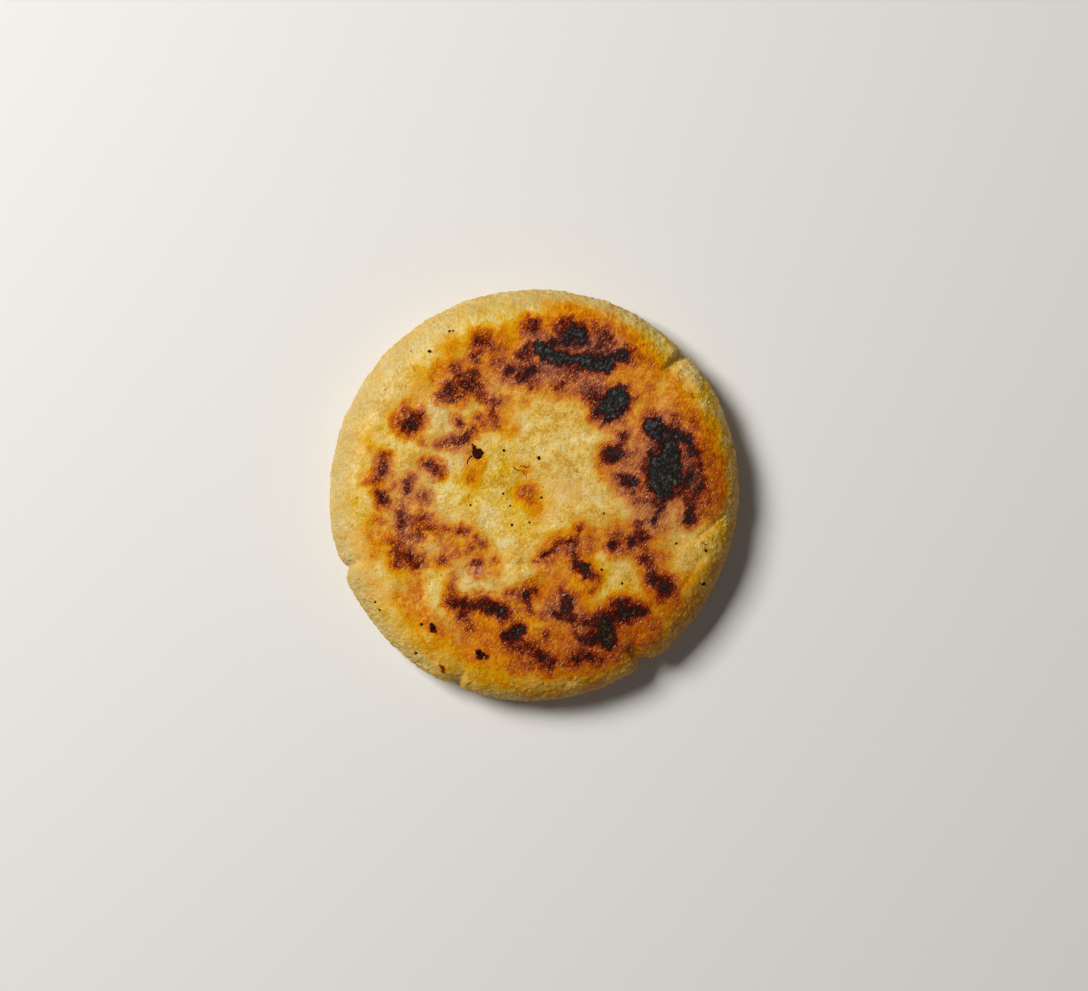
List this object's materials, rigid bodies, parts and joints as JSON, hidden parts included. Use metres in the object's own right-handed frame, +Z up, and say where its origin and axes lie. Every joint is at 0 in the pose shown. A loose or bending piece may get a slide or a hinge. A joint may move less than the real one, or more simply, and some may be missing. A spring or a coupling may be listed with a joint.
{
  "type": "arepa corn cake",
  "caption": "Round griddled corn cake with a rounded, split rim and a slightly dished, charred top; lies on its flat underside.",
  "frame": {"origin": "centre of the flat underside, at the bottom centre of the box", "axes": "+Z up through the cake's thickness, from the underside to the griddled top; +Y towards twelve o'clock of the top as seen from above"},
  "size_m": [0.1036, 0.1044, 0.0164],
  "materials": {
    "griddled_corn_dough": "cooked corn dough: pale yellow, fine grained and slightly oily, toasted golden to orange with red-brown and black griddle marks"
  },
  "bodies": {
    "root": {"arepa": "griddled_corn_dough"}
  },
  "joints": []
}
